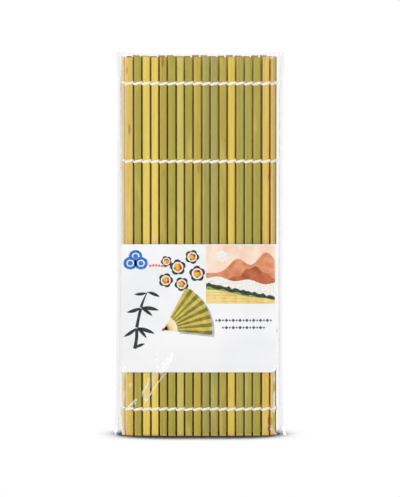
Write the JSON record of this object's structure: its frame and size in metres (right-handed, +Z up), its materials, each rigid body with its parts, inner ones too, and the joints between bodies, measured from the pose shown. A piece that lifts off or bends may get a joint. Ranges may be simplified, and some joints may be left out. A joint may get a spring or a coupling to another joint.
{
  "type": "sushi rolling mat",
  "caption": "Rolling mat of split bamboo slats twined together with cotton in four rows, rolled up flat in a clear bag with a paper card; it unrolls flat and the bag lifts off.",
  "frame": {"origin": "centre of the bottom of the whole part, on the surface that the slats stand on", "axes": "+Z up along the slats, -Y towards the side that shows the card, +X to the right seen from there"},
  "size_m": [0.107, 0.023, 0.2424],
  "materials": {
    "bamboo": "split green bamboo, satin",
    "twine": "undyed cotton",
    "card": "coated paper",
    "film": "clear film"
  },
  "bodies": {
    "outer_end_slat": {"slat_01": "bamboo", "outer_knots": "twine"},
    "second_slat": {"slat_02": "bamboo"},
    "front_layer": {"slat_03": "bamboo", "slat_04": "bamboo", "slat_05": "bamboo", "slat_06": "bamboo", "slat_07": "bamboo", "slat_08": "bamboo", "slat_09": "bamboo", "slat_10": "bamboo", "slat_11": "bamboo", "slat_12": "bamboo", "slat_13": "bamboo", "slat_14": "bamboo", "slat_15": "bamboo", "slat_16": "bamboo", "slat_17": "bamboo", "twine_1a": "twine", "twine_1b": "twine", "twine_2a": "twine", "twine_2b": "twine", "twine_3a": "twine", "twine_3b": "twine", "twine_4a": "twine", "twine_4b": "twine"},
    "turn_slat_1": {"slat_18": "bamboo"},
    "turn_slat_2": {"slat_19": "bamboo"},
    "turn_slat_3": {"slat_20": "bamboo"},
    "turn_slat_4": {"slat_21": "bamboo"},
    "back_layer": {"slat_22": "bamboo", "slat_23": "bamboo", "slat_24": "bamboo", "slat_25": "bamboo", "slat_26": "bamboo", "slat_27": "bamboo", "slat_28": "bamboo", "slat_29": "bamboo", "slat_30": "bamboo", "slat_31": "bamboo", "slat_32": "bamboo", "slat_33": "bamboo", "slat_34": "bamboo", "slat_35": "bamboo", "slat_36": "bamboo", "slat_37": "bamboo"},
    "fold_slat_1": {"slat_38": "bamboo"},
    "fold_slat_2": {"slat_39": "bamboo"},
    "inner_layer": {"slat_40": "bamboo", "slat_41": "bamboo", "slat_42": "bamboo", "slat_43": "bamboo", "slat_44": "bamboo", "slat_45": "bamboo", "inner_knots": "twine"},
    "wrapper": {"bag": "film", "card": "card"}
  },
  "joints": [
    {"name": "unroll", "type": "hinge", "parent": "front_layer", "child": "turn_slat_3", "pos_m": [0.04552, -0.00551, 0], "axis": [0, 0, -1], "range_deg": [0, 94], "deforming": ["twine_1a", "twine_1b", "twine_2a", "twine_2b", "twine_3a", "twine_3b", "twine_4a", "twine_4b", "bag", "card"]},
    {"name": "back_layer_turn", "type": "hinge", "parent": "turn_slat_3", "child": "back_layer", "pos_m": [0.04534, 0.00642, 0], "axis": [0, 0, -1], "range_deg": [0, 86.04]},
    {"name": "fold_1_hinge", "type": "hinge", "parent": "back_layer", "child": "fold_slat_1", "pos_m": [-0.04275, 0.00746, 0], "axis": [0, 0, -1], "range_deg": [0, 64.03]},
    {"name": "inner_layer_turn", "type": "hinge", "parent": "fold_slat_1", "child": "inner_layer", "pos_m": [-0.04492, -0.00037, 0], "axis": [0, 0, -1], "range_deg": [0, 116.06]},
    {"name": "fold_2_hinge", "type": "hinge", "parent": "inner_layer", "child": "fold_slat_2", "pos_m": [-0.04214, -0.00185, 0], "axis": [0, 0, 1], "range_deg": [0, 56.03]},
    {"name": "turn_1_hinge", "type": "hinge", "parent": "front_layer", "child": "turn_slat_1", "pos_m": [0.03865, -0.00721, 0], "axis": [0, 0, -1], "range_deg": [0, 14.01]},
    {"name": "turn_2_hinge", "type": "hinge", "parent": "turn_slat_1", "child": "turn_slat_2", "pos_m": [0.04385, -0.00591, 0], "axis": [0, 0, -1], "range_deg": [0, 40.02]},
    {"name": "turn_4_hinge", "type": "hinge", "parent": "back_layer", "child": "turn_slat_4", "pos_m": [0.04278, 0.00746, 0], "axis": [0, 0, 1], "range_deg": [0, 44.02]},
    {"name": "second_slat_hinge", "type": "hinge", "parent": "front_layer", "child": "second_slat", "pos_m": [-0.04152, -0.00721, 0], "axis": [0, 0, 1], "range_deg": [0, 20.01]},
    {"name": "outer_end_hinge", "type": "hinge", "parent": "second_slat", "child": "outer_end_slat", "pos_m": [-0.04663, -0.00535, 0], "axis": [0, 0, 1], "range_deg": [0, 54.03]},
    {"name": "wrapper_lift", "type": "slide", "parent": "front_layer", "child": "wrapper", "axis": [0, 0, 1], "range_m": [0, 0.26]}
  ],
  "couplings": [
    {"joint": "back_layer_turn", "follows": "unroll", "ratio": 0.91489},
    {"joint": "fold_1_hinge", "follows": "unroll", "ratio": 0.68085},
    {"joint": "inner_layer_turn", "follows": "unroll", "ratio": 1.234},
    {"joint": "fold_2_hinge", "follows": "unroll", "ratio": 0.59574},
    {"joint": "turn_1_hinge", "follows": "unroll", "ratio": 0.14894},
    {"joint": "turn_2_hinge", "follows": "unroll", "ratio": 0.42553},
    {"joint": "turn_4_hinge", "follows": "unroll", "ratio": 0.46809},
    {"joint": "second_slat_hinge", "follows": "unroll", "ratio": 0.21277},
    {"joint": "outer_end_hinge", "follows": "unroll", "ratio": 0.57447}
  ]
}
